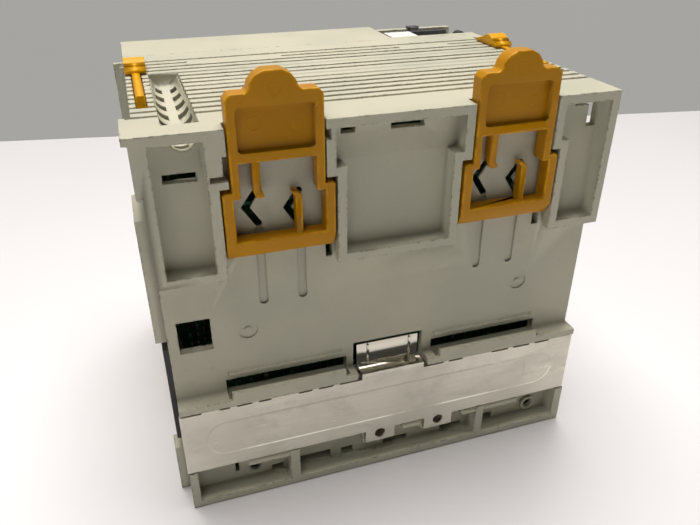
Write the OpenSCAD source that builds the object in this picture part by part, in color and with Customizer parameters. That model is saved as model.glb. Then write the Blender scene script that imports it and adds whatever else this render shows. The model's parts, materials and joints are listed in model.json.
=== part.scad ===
// Controller module for a 35 mm rail, standing on its mounted top face.
// X runs from left to right along the rail, Y from the rail side to the front panel, Z up.

/* [Case] */
// Width of the case along the rail
body_w = 98; // [98:1:104]
// Height of the case
body_h = 90; // [90:0.5:92]
// Depth from the rail side to the front panel
body_d = 84.5; // [84.5:0.5:90]
// Thickness of the case walls
wall = 2; // [1.6:0.1:2.2]
// Depth at which the rear case meets the front cover
joint_y = 64.8; // [64:0.2:65.4]

/* [Rail side] */
// Depth of the seat that rests on the rail
seat_y = 4; // [4:0.1:4.4]
// Lower edge of the rail, where the fixed hooks hold it
rail_low_z = 25.5; // [25:0.1:26]
// Lower edge of the raised frames above the rail
frame_low_z = 59.6; // [59.4:0.1:60]
// Distance between the two rail latches
latch_pitch = 49.3; // [49.1:0.1:49.4]

/* [Vents and sliders] */
// Distance between the grooves on the upper face
groove_pitch = 3.27; // [3.2:0.01:3.3]
// Number of grooves on the upper face
groove_count = 15; // [12:1:15]
// Width of one groove
groove_w = 1.2; // [0.8:0.1:1.4]

/* [Metal plate] */
// Thickness of the bent metal plate
sheet = 1; // [0.8:0.1:1.2]
// Radius of the two screw holes in the plate
plate_hole_r = 1.4; // [1.2:0.1:1.6]
// Distance between the two screw holes
plate_hole_pitch = 15.5; // [15:0.1:16]

/* [Front panel] */
// Thickness of the hinged doors
door_t = 1.9; // [1.8:0.1:1.9]
// Radius of the hinge pins
pin_r = 0.55; // [0.5:0.01:0.56]
// Radius of the setting dials
dial_r = 3.6; // [3:0.1:3.8]

/* [Hidden] */

$fn = 48;
over = 1;          // how far a cut runs past a face
slip = 0.3;        // air between pieces that slide past each other
side_proud = 2.3;  // how far the joining features stand out of the left side
centre_x = (body_w - side_proud) / 2;
centre_y = body_d / 2;
plate_back = seat_y + wall;
panel_in = body_d - wall;

ivory = [0.86, 0.83, 0.75];
amber = [0.93, 0.65, 0.10];
metal = [0.80, 0.79, 0.76];
green = [0.10, 0.32, 0.20];
dark = [0.10, 0.10, 0.11];
steel = [0.66, 0.67, 0.69];

// ---- helpers ----

module placed() {
    translate([-centre_x, -centre_y, 0])
        children();
}

// A box between two limits on each axis
module block(x, y, z) {
    translate([x[0], y[0], z[0]])
        cube([x[1] - x[0], y[1] - y[0], z[1] - z[0]]);
}

// An outline drawn on the rear face, in X and Z, and given depth along Y
module rear_outline(points, y) {
    translate([0, y[1], 0])
        rotate([90, 0, 0])
            linear_extrude(y[1] - y[0])
                polygon(points);
}

// An outline drawn on the side, in Y and Z, and given width along X
module side_outline(points, x) {
    translate([x[0], 0, 0])
        rotate([90, 0, 90])
            linear_extrude(x[1] - x[0])
                polygon(points);
}

// A round bar along Y
module bar_y(x, z, r, y) {
    translate([x, y[1], z])
        rotate([90, 0, 0])
            cylinder(r = r, h = y[1] - y[0]);
}

// A round bar along X
module bar_x(y, z, r, x) {
    translate([x[0], y, z])
        rotate([0, 90, 0])
            cylinder(r = r, h = x[1] - x[0]);
}

// A round bar along Z
module bar_z(x, y, r, z) {
    translate([x, y, z[0]])
        cylinder(r = r, h = z[1] - z[0]);
}

// ---- rear case ----

bar_w = 1.9;
frame_bar_z = frame_low_z + bar_w;
frame_step_z = 78.6;
left_bar_x = 11.4;
mid_x = [33.8, 64.4];
mid_low_x = [35.9, 62.3];
right_x = 83.2;
right_low_x = 85.1;

// The left frame, with the slit and small tab beside the latch
module left_frame() {
    difference() {
        union() {
            block([0, 15.25], [0, seat_y], [body_h - wall, body_h]);
            block([0, bar_w], [0, seat_y], [frame_low_z, body_h]);
            block([0, 13.4], [0, seat_y], [frame_low_z, frame_bar_z]);
            block([left_bar_x, 13.4], [0, seat_y], [frame_low_z, body_h]);
            block([left_bar_x, 15.25], [0, seat_y], [81.2, body_h]);
            block([left_bar_x, 15.2], [0, seat_y], [frame_step_z, 80.1]);
        }
        block([14.4, 16], [-over, seat_y + over], [80.5, 84.9]);
        block([11.9, 16], [-over, seat_y + over], [80.1, 81.2]);
    }
}

// The upper bar steps inwards to the lower bar at the latch shoulder
module stepped_bar(upper, lower) {
    low = min(upper[0], lower[0]);
    high = max(upper[1], lower[1]);
    block(upper, [0, seat_y], [frame_step_z, body_h]);
    block(lower, [0, seat_y], [frame_low_z, frame_step_z + bar_w]);
    block([low, high], [0, seat_y], [frame_step_z, frame_step_z + bar_w]);
}

module middle_frame() {
    difference() {
        union() {
            block(mid_x, [0, seat_y], [body_h - wall, body_h]);
            block(mid_low_x, [0, seat_y], [frame_low_z, frame_bar_z]);
            stepped_bar([mid_x[0], mid_x[0] + bar_w], [mid_low_x[0], mid_low_x[0] + bar_w]);
            stepped_bar([mid_x[1] - bar_w, mid_x[1]], [mid_low_x[1] - bar_w, mid_low_x[1]]);
        }
        block([mid_x[0] - over, mid_x[0] + 0.9], [-over, seat_y + over], [86, 88]);
    }
}

module right_frame() {
    block([right_x, body_w], [0, seat_y], [body_h - wall, body_h]);
    block([right_low_x, body_w], [0, seat_y], [frame_low_z, frame_bar_z]);
    block([body_w - bar_w, body_w], [0, seat_y], [frame_low_z, body_h]);
    stepped_bar([right_x, right_x + bar_w], [right_low_x, right_low_x + bar_w]);
}

// Grooves that the latch wings run in, cut into the frames' facing walls
module latch_grooves() {
    for (i = [0, 1]) {
        shift = i * latch_pitch;
        block([12.3 + shift, 14 + shift], [2.4, seat_y], [frame_low_z - over, frame_step_z]);
        block([35.2 + shift, 36.8 + shift], [2.4, seat_y], [frame_low_z - over, frame_step_z]);
    }
}

bay_top = 10.9;
plate_top = 27.9;
ledge_z = 29.6;
lip_z = 31.5;
lip_y = 0.9;
seat_pad = 0.05;
seat_low_z = 35.2;
hook_x = [[11, 38.6], [60.1, 88]];
centre_gap = [40.4, 57.7];
centre_gap_z = 35.5;

// The open bays along the lower edge
module lower_bays() {
    block([0, body_w], [0, seat_y], [0, bar_w]);
    for (x = [[0, bar_w], [23.5, 25.8], [72.4, 74.6], [body_w - 2.2, body_w]])
        block(x, [0, seat_y], [0, bay_top - slip]);
    for (x = [[13.6, 23.6], [52.2, 57.2], [68.2, 72.4], [74.6, 84.3]])
        side_outline([
            [0, 9.2], [0, 9.7], [0.7, bay_top - slip], [seat_y, bay_top - slip], [seat_y, 9.2]
        ], x);
    for (x = [plate_hole_x(0), plate_hole_x(1)])
        block([x - 4.2, x + 4.2], [sheet + 0.4, seat_y], [6.6, bay_top]);
    difference() {
        bar_y(90.1, 4.6, 2.1, [seat_y - 0.8, seat_y]);
        bar_y(90.1, 4.6, 1.4, [seat_y - 2, seat_y + over]);
    }
}

function plate_hole_x(i) = 46.2 + i * plate_hole_pitch;
plate_hole_z = 9.7;

// The ledge above the metal plate, with the two fixed hooks for the rail
module hook_ledge() {
    difference() {
        block([0, body_w], [sheet + 0.4, seat_y], [bay_top, plate_top]);
        block([3, body_w - 3], [0, seat_y - 0.8], [plate_top - 1.3, plate_top]);
    }
    for (x = [[0, centre_gap[0]], [centre_gap[1], body_w]])
        block(x, [0, seat_y], [plate_top, ledge_z]);
    for (x = hook_x)
        side_outline([
            [0, ledge_z - 0.5], [0, lip_z - 0.3], [0.3, lip_z], [lip_y, lip_z], [lip_y, ledge_z - 0.5]
        ], [x[0] + 0.6, x[1] - 1.1]);
    for (x = hook_x)
        side_outline([
            [seat_y + 0.1, 33.2], [seat_y - 0.6, 33.7], [seat_y - 0.6, 34.3], [seat_y + 0.1, 34.8]
        ], [x[0] + 0.5, x[1] - 0.8]);
}

trough_x = 8.25;
trough_r = 3.35;
trough_z = body_h - wall;
trough_y = [5.6, 45];
trough_tilt = 3.85;
rib_pitch = 5.45;
spine_w = 1.9;

// A round-bottomed channel that rises away from the rail side, between two depths
module channel(r, y) {
    intersection() {
        translate([trough_x, trough_y[0], trough_z])
            rotate([trough_tilt, 0, 0]) {
                rotate([-90, 0, 0])
                    translate([0, 0, -10])
                        cylinder(r = r, h = 70);
                translate([-r, -10, 0])
                    cube([2 * r, 70, 10]);
            }
        block([0, 20], y, [70, body_h + over]);
    }
}

// The half-round ribbed trough in the upper left of the case
module trough_shell() {
    intersection() {
        channel(trough_r + 2.2, [seat_y, trough_y[1] + wall]);
        block([0, 20], [seat_y, trough_y[1] + wall], [70, trough_z]);
    }
}

module trough_cut() {
    channel(trough_r, trough_y);
    intersection() {
        bar_y(trough_x, trough_z, 2.65, [seat_y - over, trough_y[0] + over]);
        block([0, 20], [seat_y - over, trough_y[0] + over], [80, trough_z]);
    }
}

// Cross slots on both sides of the trough's spine, and a hole at its lower end
module trough_slots() {
    difference() {
        for (i = [0 : 5])
            intersection() {
                channel(trough_r + 2.3, [10.9 + i * rib_pitch, 13.6 + i * rib_pitch]);
                block([0, 20], [0, 60], [80, trough_z - 0.3]);
            }
        block([trough_x - spine_w / 2, trough_x + spine_w / 2], [0, 60], [70, body_h]);
    }
    block([trough_x - 1.3, trough_x + 1.3], [6.1, 8.6], [80, trough_z - 1]);
}

// Grooves across the upper face; one of them is broken into three lengths
module top_grooves() {
    for (i = [0 : groove_count - 1]) {
        y = 11.6 + i * groove_pitch;
        runs = i == 13 ? [[-over, 14.6], [38, 69.9], [83.8, body_w + over]] : [[-over, body_w + over]];
        for (x = runs)
            block(x, [y - groove_w / 2, y + groove_w / 2], [body_h - 1, body_h + over]);
        if (i > 0 && i < 13)
            for (x = [[17, 31], [39, 59], [67, 81]])
                block(x, [y - 0.35, y + 0.35], [body_h - wall - over, body_h]);
    }
}

slot_x = [1.3, 3.5];
slot_under = 0.6;
well_h = 3.2;

// Long slots in the upper and lower faces for the locking sliders
module slider_rails() {
    for (x = [[0, 5.4], [body_w - 5.4, body_w]])
        for (z = [[body_h - 5, body_h - 1], [1, 5 + well_h]])
            block(x, [15, joint_y], z);
}

module slider_slots() {
    y = [18, 60.4];
    for (x = [slot_x, [body_w - slot_x[1], body_w - slot_x[0]]]) {
        block(x, y, [body_h - 2.6, body_h + over]);
        block(x, y, [-over, 2.6 + well_h]);
        block([x[0] - slot_under, x[1] + slot_under], y, [body_h - 2.6, body_h - 1.4]);
        block([x[0] - slot_under, x[1] + slot_under], y, [1.4 + well_h, 2.6 + well_h]);
    }
    for (x = [[-side_proud - over, 5.1], [body_w - 5.1, body_w + over]])
        block(x, [36, 60.8], [-over, well_h]);
}

// Rear wall openings: inspection window, catches and vents
module rear_openings() {
    through = [seat_y - over, plate_back + over];
    block([2.2, 9.1], through, [42, 49]);
    block([wall, 10.5], [seat_y + 1, plate_back + over], [40.4, 50.4]);
    side_outline([[seat_y - 0.1, 41.2], [seat_y - 0.1, 42.1], [seat_y + 1.1, 42.1]], [2.2, 9.1]);
    block([3.8, 9.9], through, [79.5, 81.2]);
    block([37.8, 40.6], through, [85.6, body_h - wall]);
    block([48.1, 55.1], through, [85.6, body_h - wall]);
    block([90.1, 95.8], through, [86.3, body_h - wall]);
    block([93.5, 95.8], through, [81.6, body_h - wall]);
    for (x = [[34.3, 35.7], [83.4, 84.8]])
        block(x, through, [59.4, 63.5]);
    for (x = hook_x)
        block(x, [lip_y, plate_back + over], [ledge_z - 1, 32.2]);
    for (x = hook_x)
        block([x[0] + 0.6, x[1] - 1.1], [lip_y, seat_y + 0.2], [rail_low_z, ledge_z + over]);
    block(centre_gap, [-over, plate_back + over], [plate_top, centre_gap_z]);
}

module bay_openings() {
    through = [seat_y - over, plate_back + over];
    block([10.8, 11.6], through, [4.4, 7.4]);
    block([19.6, 22.3], through, [bar_w, 3.6]);
    block([26.6, 34.4], through, [bar_w, 4.2]);
    block([37.4, 40.3], through, [bar_w, 3.7]);
    block([48.6, 55], through, [bar_w, 3.3]);
    block([64.5, 70.3], through, [bar_w, 3.3]);
    block([76.8, 79.5], through, [bar_w, 3.8]);
    bar_y(15.5, 4.9, 1.5, through);
    bar_y(90.1, 4.6, 1.4, through);
    for (i = [0, 1])
        bar_y(plate_hole_x(i), plate_hole_z, plate_hole_r, [0, plate_back + 4]);
}

// A bent slot under each latch finger, where the wall is thinner
module chevron_slots() {
    for (shift = [0, latch_pitch])
        block([15.5 + shift, 32.5 + shift], [seat_y + 1.1, plate_back + over], [66, 79]);
    y = [seat_y - over, plate_back + over];
    for (shift = [0, latch_pitch], corner = [[17.46, 72.9], [25.7, 71.8]]) {
        x = corner[0] + shift;
        z = corner[1];
        rear_outline([
            [x, z], [x + 2.71, z + 3.72], [x + 3.89, z + 2.89],
            [x + 1.79, z - 0.2], [x + 3.86, z - 3.41], [x + 2.64, z - 4.19]
        ], y);
        bar_y(x + 3.3, z + 3.3, 0.73, y);
        bar_y(x + 3.25, z - 3.8, 0.73, y);
    }
}

// Shallow guide grooves and round moulding marks on the rail seat
module seat_marks() {
    for (shift = [0, latch_pitch])
        for (x = [20.7, 29.1]) {
            block([x - 0.95 + shift, x + 0.95 + shift], [seat_y - over, seat_y + 0.5], [51.3, 67.6]);
            bar_y(x + shift, 51.3, 0.95, [seat_y - over, seat_y + 0.5]);
            bar_y(x + shift, 67.6, 0.95, [seat_y - over, seat_y + 0.5]);
        }
    for (x = [16.8, 81.9])
        difference() {
            bar_y(x, 44.5, 2.1, [seat_y - over, seat_y + 0.25]);
            bar_y(x, 44.5, 0.7, [seat_y - 2 * over, seat_y + over]);
        }
}

pocket_z = 72.5;

// A pocket behind the right frame that opens through the side wall
module side_pocket_walls() {
    block([88.6, body_w - 1], [plate_back - 0.5, 31.5], [pocket_z - 1.3, body_h - 1]);
}

module side_pocket_cut() {
    block([90.1, body_w + over], [plate_back, 15], [pocket_z, body_h - wall]);
    block([90.1, body_w + over], [15 - over, 30], [pocket_z, 84.5]);
}

// Joining features on the left side
module left_side_features() {
    block([-2.2, 0], [0, 11.8], [body_h - 1.5, body_h]);
    block([-2.2, 0], [7, 11.8], [0, 13]);
    block([-side_proud, 0], [57.4, 59], [0, body_h]);
    block([-1.2, 0], [0, 1.4], [78.9, body_h - 1]);
    bar_y(-0.6, 78.9, 0.6, [0, 1.4]);
    difference() {
        block([-side_proud, 1], [seat_y + 0.2, 17.5], [45, 72.8]);
        block([-side_proud - over, over], [5.6, 16.2], [46.5, 71.3]);
    }
}

bus_z = [47, 70.8];
bus_y = [9.2, 15.8];
board_screw_x = [11, body_w - 11];
board_screw_z = [12, 64];

module rear_case() {
    color(ivory) placed() case_body();
}

module case_body() {
    difference() {
        union() {
            difference() {
                block([0, body_w], [seat_y, joint_y], [0, body_h]);
                block([wall, body_w - wall], [plate_back, joint_y + over], [wall, body_h - wall]);
            }
            // The rail bears on a pad that stands just proud of the wall round it
            block([0, body_w], [seat_y - seat_pad, seat_y + over], [seat_low_z, frame_low_z]);
            left_frame();
            middle_frame();
            right_frame();
            lower_bays();
            hook_ledge();
            trough_shell();
            slider_rails();
            side_pocket_walls();
            left_side_features();
            for (i = [0, 1])
                bar_y(plate_hole_x(i), plate_hole_z, 3, [plate_back - 0.5, plate_back + 4]);
            for (x = board_screw_x, z = board_screw_z)
                bar_y(x, z, 3, [plate_back - 0.5, bus_board_y]);
        }
        for (x = board_screw_x, z = board_screw_z)
            bar_y(x, z, 1.5, [plate_back + 2, bus_board_y + over]);
        latch_grooves();
        trough_cut();
        trough_slots();
        top_grooves();
        slider_slots();
        rear_openings();
        bay_openings();
        chevron_slots();
        seat_marks();
        side_pocket_cut();
        block([-over, wall + over], [bus_y[0] - 0.2, bus_y[1] + 0.2], [bus_z[0] - 0.2, bus_z[1] + 0.2]);
        block([body_w - wall - over, body_w + over], [bus_y[0] - 0.2, bus_y[1] + 0.2],
            [bus_z[0] - 0.2, bus_z[1] + 0.2]);
    }
}

// ---- rail latches ----

latch_y = [0.1, 3.7];
pocket_r = 0.9;

// The round-cornered hollow in a latch's head
module latch_pocket() {
    x = [17.3, 31.8];
    z = [85, 93.4];
    y = [latch_y[0] - over, 1.5];
    block([x[0] + pocket_r, x[1] - pocket_r], y, z);
    block(x, y, [z[0] + pocket_r, z[1] - pocket_r]);
    for (cx = [x[0] + pocket_r, x[1] - pocket_r], cz = [z[0] + pocket_r, z[1] - pocket_r])
        bar_y(cx, cz, pocket_r, y);
}

// One latch, drawn at the left place, pulled up into its released position
module latch_plate() {
    difference() {
        union() {
            rear_outline([
                [13.7, 63.4], [35.5, 63.4], [35.5, 77.2], [35, 77.7], [33.5, 77.7], [33.5, 94.8],
                [32.5, 95.8], [29.5, 95.8], [28.9, 96.4], [28.6, 97.4], [27.6, 98.7], [26, 99.5],
                [22.8, 99.5], [21.2, 98.7], [20.2, 97.4], [19.9, 96.4], [19.3, 95.8], [16.6, 95.8],
                [15.6, 94.8], [15.6, 77.7], [14.2, 77.7], [13.7, 77.2]
            ], latch_y);
            for (x = [[12.7, 14], [35, 36.5]])
                block(x, [2.7, 3.6], [64, 77]);
        }
        latch_pocket();
        rear_outline([
            [15.8, 67.4], [33.5, 67.4], [33.5, 76.2], [31.9, 76.2],
            [31.9, 83.1], [17.2, 83.1], [17.2, 76.2], [15.8, 76.2]
        ], [latch_y[0] - over, latch_y[1] + over]);
        side_outline([[0, 60], [0, 66.2], [1.7, 63.4], [1.7, 60]], [10, 40]);
    }
    // Two sprung fingers that ride in the bent slots
    block([19.8, 21.2], [1.1, 3.4], [76.8, 83.2]);
    rear_outline([
        [19.8, 76.9], [20.2, 75.7], [21.2, 75.5], [21.8, 76], [21.6, 76.6], [21.2, 76.9]
    ], [1.1, 3.4]);
    rear_outline([
        [27.7, 67.3], [29.1, 67.3], [29.1, 75.2], [28.2, 76.1], [27.2, 76.4], [27.1, 75.7], [27.7, 75]
    ], [1.1, 3.4]);
}

module din_latch_left() {
    color(amber) placed() latch_plate();
}

module din_latch_right() {
    color(amber) placed() translate([latch_pitch, 0, 0]) latch_plate();
}

// ---- locking sliders ----

// A ribbed thumb pad on a flat stem, drawn at the upper left
module slider_shape() {
    block([slot_x[0] + 0.2, slot_x[1] - 0.2], [25, 56], [body_h - 2.3, body_h + 0.4]);
    block([slot_x[0] - 0.4, slot_x[1] + 0.4], [25, 56], [body_h - 2.3, body_h - 1.7]);
    side_outline([
        [44.8, body_h + 0.2], [44.7, body_h + 0.9], [45.9, body_h + 1.5], [46.1, body_h + 1.3],
        [46.4, body_h + 1.7], [47, body_h + 2], [47.2, body_h + 1.8], [47.5, body_h + 2.2],
        [48.6, body_h + 2.7], [49.6, body_h + 2.9], [51, body_h + 2.5], [53, body_h + 1.6],
        [55.4, body_h + 1], [56, body_h + 0.6], [55.8, body_h + 0.2]
    ], [0.1, 4.8]);
}

// The lower sliders lie in wells, so their pads stay inside the case
module lower_slider_shape() {
    translate([0, 0, body_h + well_h])
        mirror([0, 0, 1])
            slider_shape();
}

module slider_upper_left() {
    color(amber) placed() slider_shape();
}

module slider_upper_right() {
    color(amber) placed() translate([body_w, 0, 0]) mirror([1, 0, 0]) slider_shape();
}

module slider_lower_left() {
    color(amber) placed() lower_slider_shape();
}

module slider_lower_right() {
    color(amber) placed() translate([body_w, 0, 0]) mirror([1, 0, 0]) lower_slider_shape();
}

// ---- metal plate ----

module plate_rear() {
    y = [0.2, 0.2 + sheet];
    block([-0.2, body_w - 0.2], y, [bay_top, plate_top - 0.5]);
    for (x = [[4.6, 8.6], [10.8, 12.4], [15.6, 17.2], [20, 26.4], [29.4, 31], [34.4, 36], [41.4, 56.8],
            [62, 63.4], [67, 75], [79.4, 81], [85.4, 87], [91, 97.4]])
        block(x, y, [plate_top - 0.6, plate_top - 0.1]);
    for (i = [0, 1])
        block([plate_hole_x(i) - 3.8, plate_hole_x(i) + 3.8], y, [7.5, bay_top + 0.1]);
}

// A raised field with long round-ended edges
module plate_bead() {
    difference() {
        hull()
            for (x = [9.4, body_w - 9.4])
                bar_y(x, 19.2, 4.7, [0, 0.3]);
        hull()
            for (x = [9.4, body_w - 9.4])
                bar_y(x, 19.2, 4.3, [-over, over]);
    }
}

module ground_plate() {
    color(metal) placed() {
        difference() {
            union() {
                plate_rear();
                plate_bead();
            }
            for (i = [0, 1])
                bar_y(plate_hole_x(i), plate_hole_z, plate_hole_r, [-over, 3]);
        }
        // The contact tongue folds in over the ledge and turns up
        block([41.4, 56.8], [0.2, 5.2], [plate_top + 0.1, plate_top + 0.1 + sheet]);
        block([41.4, 56.8], [0.2, 0.2 + sheet], [plate_top - 0.2, plate_top + 0.2]);
        block([41.4, 56.8], [4.6, 4.6 + sheet], [plate_top + 0.1, 34.4]);
        for (x = [43.9, 54.3])
            block([x, x + 0.5], [4.2, 4.7], [plate_top + 1, 34]);
    }
}

module side_gasket() {
    color(dark) placed() block([-1.2, -0.02], [seat_y + 0.2, seat_y + 4], [18.5, 43]);
}

// ---- bus connectors ----

module bus_connector_left() {
    color(dark) placed() difference() {
        block([-1.9, 5.8], bus_y, bus_z);
        for (y = [10.4, 13.2])
            block([-3, 1.6], [y, y + 1.4], [bus_z[0] + 1, bus_z[1] - 1]);
    }
}

module bus_connector_right() {
    color(dark) placed() difference() {
        block([body_w - 5.8, body_w - 0.3], bus_y, bus_z);
        block([body_w - 3.6, body_w], [11.4, 13.6], [bus_z[0] + 1, bus_z[1] - 1]);
    }
}

// ---- boards and what they carry ----

board_t = 1.6;
bus_board_y = 15.8;
front_board_y = 66.2;
cpu_x = 30;
network_x = 62;

module bus_board() {
    color(green) placed() difference() {
        block([3, body_w - 3], [bus_board_y, bus_board_y + board_t], [8.4, 68]);
        for (x = board_screw_x, z = board_screw_z)
            bar_y(x, z, 1.6, [bus_board_y - over, bus_board_y + board_t + over]);
    }
}

module cpu_board() {
    color(green) placed() block([cpu_x, cpu_x + board_t], [bus_board_y + 6, front_board_y - 6], [7, 82]);
}

module network_board() {
    color(green) placed()
        block([network_x, network_x + board_t], [bus_board_y + 6, front_board_y - 6], [7, 82]);
}

module front_board() {
    color(green) placed() block([4, 39], [front_board_y, front_board_y + board_t], [4, 86]);
}

// Plug-in strips between the boards
module board_connectors() {
    color(dark) placed() {
        for (x = [cpu_x, network_x]) {
            block([x - 2, x + board_t + 2], [bus_board_y + board_t, bus_board_y + 5.8], [20, 70]);
            block([x + board_t, x + board_t + 3], [bus_board_y + 6.2, bus_board_y + 12], [20, 70]);
        }
        block([cpu_x - 3, cpu_x], [front_board_y - 9, front_board_y], [20, 70]);
    }
}

module processor() {
    color(dark) placed() block([cpu_x + board_t, cpu_x + board_t + 2], [34, 52], [36, 54]);
}

module heat_sink() {
    fin_x = cpu_x + board_t + 2;
    color(metal) placed() {
        block([fin_x, fin_x + 1.6], [33, 53], [35, 55]);
        for (i = [0 : 6])
            block([fin_x + 1.5, fin_x + 8], [33, 53], [35 + i * 3.1, 36.2 + i * 3.1]);
    }
}

module memory_chips() {
    color(dark) placed()
        for (z = [12, 22, 62, 72])
            block([network_x + board_t, network_x + board_t + 1.4], [42, 54], [z, z + 7]);
}

module capacitors() {
    color([0.14, 0.16, 0.24]) placed()
        for (z = [14, 25], y = [34, 46])
            bar_x(y, z, 4, [cpu_x + board_t, cpu_x + board_t + 11]);
}

module pulse_transformer() {
    color(dark) placed() block([network_x + board_t, network_x + board_t + 6], [36, 50], [40, 54]);
}

module board_screws() {
    color(steel) placed()
        for (x = board_screw_x, z = board_screw_z) {
            bar_y(x, z, 2.8, [bus_board_y + board_t, bus_board_y + board_t + 1.8]);
            bar_y(x, z, 1.4, [bus_board_y - 6, bus_board_y + board_t]);
        }
}

// ---- front cover ----

door_x = [42, 70];
door_z = [14, 86];
tray_y = 70;
bay_x = 72.4;
bay_y = 67.3;
bay_z = 50;
hinge_y = body_d - 1.05;
hinge_r = 0.95;
leaf_gap = 1.7;    // from the hinge axis to the part of a door that passes the lugs
front_hinge_x = door_x[0] + 1.4;
port_hinge_z = bay_z + 1.4;
port_lugs = [[75, 77], [93, 95]];
front_lugs = [[22, 24], [76, 78]];
window_x = [6, 38];
window_z = [5, 13];
jack_x = [12, 28];
jack_z = [58, 72];
dials = [[14, 26], [28, 26]];

module cover_shell() {
    difference() {
        block([0, body_w], [joint_y + 0.1, body_d], [0, body_h]);
        block([wall, body_w - wall], [joint_y - over, panel_in], [wall, body_h - wall]);
    }
    // Tray behind the front door
    block([door_x[0] - 1.5, door_x[1] + 1.5], [tray_y - 1.5, body_d], [door_z[0] - 1.5, door_z[1] + 1.5]);
    // Walls of the port bay
    block([bay_x - 1.5, body_w], [joint_y + 0.1, body_d], [bay_z - wall, body_h]);
}

module front_cover() {
    color(ivory) placed() {
        difference() {
            cover_shell();
            block(door_x, [tray_y, body_d + over], door_z);
            block([bay_x, body_w + over], [bay_y, body_d + over], [bay_z, body_h + over]);
            block([bay_x, body_w - wall], [joint_y - over, bay_y - 1.2], [bay_z, body_h - wall]);
            block([window_x[0], window_x[1]], [panel_in - over, body_d + over], window_z);
            block([jack_x[0] - 0.2, jack_x[1] + 0.2], [panel_in - over, body_d + over],
                [jack_z[0] - 0.2, jack_z[1] + 0.2]);
            for (d = dials)
                bar_y(d[0], d[1], dial_r + 0.4, [panel_in - over, body_d + over]);
            // Finger notch beside the door
            block([door_x[1] - 1, door_x[1] + 1.6], [body_d - 1.2, body_d + over], [46, 54]);
            // Openings for the connectors
            block([usb_x[0] - 0.1, usb_x[1] + 0.1], [joint_y, bay_y + over],
                [usb_z[0] - 0.1, usb_z[1] + 0.1]);
            block([serial_x[0] - 0.1, serial_x[1] + 0.1], [joint_y, bay_y + over],
                [serial_z[0] - 0.1, serial_z[1] + 0.1]);
            // Seats for the upper end of the slider heads
            for (x = [[-over, 5.1], [body_w - 5.1, body_w + over]])
                block(x, [joint_y - over, joint_y + 0.2], [-over, well_h]);
        }
        // Hinge lugs
        difference() {
            for (z = front_lugs)
                block([door_x[0] - 0.5, front_hinge_x + 0.95], [hinge_y - 1, body_d - 0.1], z);
            bar_z(front_hinge_x, hinge_y, pin_r + 0.02, [front_lugs[0][0] - over, front_lugs[1][1] + over]);
        }
        difference() {
            for (x = port_lugs)
                block(x, [hinge_y - 1, body_d - 0.1], [bay_z - 0.5, port_hinge_z + 0.95]);
            bar_x(hinge_y, port_hinge_z, pin_r + 0.02, [port_lugs[0][0] - over, port_lugs[1][1] + over]);
        }
    }
}

// ---- doors ----

module front_door() {
    y = [body_d - 0.1 - door_t, body_d - 0.1];
    barrel = [front_lugs[0][1] + 0.3, front_lugs[1][0] - 0.3];
    color(ivory) placed() difference() {
        union() {
            block([front_hinge_x, door_x[1] - slip], y, barrel);
            block([front_hinge_x + leaf_gap, door_x[1] - slip], y, [door_z[0] + slip, door_z[1] - slip]);
            bar_z(front_hinge_x, hinge_y, hinge_r, barrel);
        }
        bar_z(front_hinge_x, hinge_y, pin_r + 0.07, [door_z[0], door_z[1]]);
        // A shallow field for a plain label
        block([door_x[0] + 6, door_x[1] - 5], [body_d - 0.4, body_d + over], [20, 80]);
    }
}

module front_door_pin() {
    color(steel) placed() bar_z(front_hinge_x, hinge_y, pin_r, [front_lugs[0][0], front_lugs[1][1]]);
}

module port_door() {
    y = [body_d - 0.1 - door_t, body_d - 0.1];
    barrel = [port_lugs[0][1] + 0.3, port_lugs[1][0] - 0.3];
    color(ivory) placed() difference() {
        union() {
            block(barrel, y, [port_hinge_z, body_h - 0.9]);
            block([bay_x + slip, body_w], y, [port_hinge_z + leaf_gap, body_h - 0.9]);
            bar_x(hinge_y, port_hinge_z, hinge_r, barrel);
        }
        bar_x(hinge_y, port_hinge_z, pin_r + 0.07, [bay_x, body_w]);
        block(catch_x, [panel_in - over, body_d + over], [86.2, body_h]);
        block([bay_x + 5, body_w - 5], [body_d - 0.4, body_d + over], [58, 82]);
    }
}

catch_x = [84.1, 87.7];

// The dark catch at the free edge of the port door, with its bar on the door's inner face
module door_catch() {
    color([0.25, 0.26, 0.27]) placed() {
        block(catch_x, [body_d - 0.1 - door_t, body_d - 0.1], [86.2, body_h - 0.3]);
        block([catch_x[0] + 0.5, catch_x[1] - 0.5], [body_d - 2.8, body_d - door_t], [86.6, body_h - 0.5]);
        block([catch_x[0] + 0.5, body_w - 1.5], [body_d - 3.2, body_d - 0.1 - door_t], [84.6, 88.4]);
    }
}

module port_door_pin() {
    color(steel) placed() bar_x(hinge_y, port_hinge_z, pin_r, [port_lugs[0][0], port_lugs[1][1]]);
}

// ---- inside the front door ----

battery_x = 52;
battery_z = [56, 82];

module battery_holder() {
    color(dark) placed() difference() {
        block([44, 60], [tray_y, tray_y + 7], [54, 84]);
        block([46, 58], [tray_y + 1.4, tray_y + 8], [55.6, 82.4]);
    }
}

module battery() {
    color([0.75, 0.76, 0.80]) placed() bar_z(battery_x, tray_y + 6.15, 4.7, battery_z);
}

module card_slot() {
    color(dark) placed() difference() {
        block([44, 68], [tray_y, tray_y + 6.4], [30, 46]);
        block([44.9, 60.1], [tray_y + 1.4, tray_y + 7], [30.9, 42.1]);
        block([63.2, 66.8], [tray_y + 1.4, tray_y + 7], [34.2, 39.8]);
    }
}

module memory_card() {
    color([0.16, 0.17, 0.20]) placed() difference() {
        block([45.2, 59.8], [tray_y + 1.7, tray_y + 8.6], [31.2, 41.8]);
        block([47, 58], [tray_y + 7.6, tray_y + 9], [39.6, 41]);
    }
}

module eject_button() {
    color([0.5, 0.5, 0.5]) placed() block([63.5, 66.5], [tray_y + 3.7, tray_y + 9.4], [34.5, 39.5]);
}

dip_x = 46;
dip_z = 20;
dip_pitch = 2.54;

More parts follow.
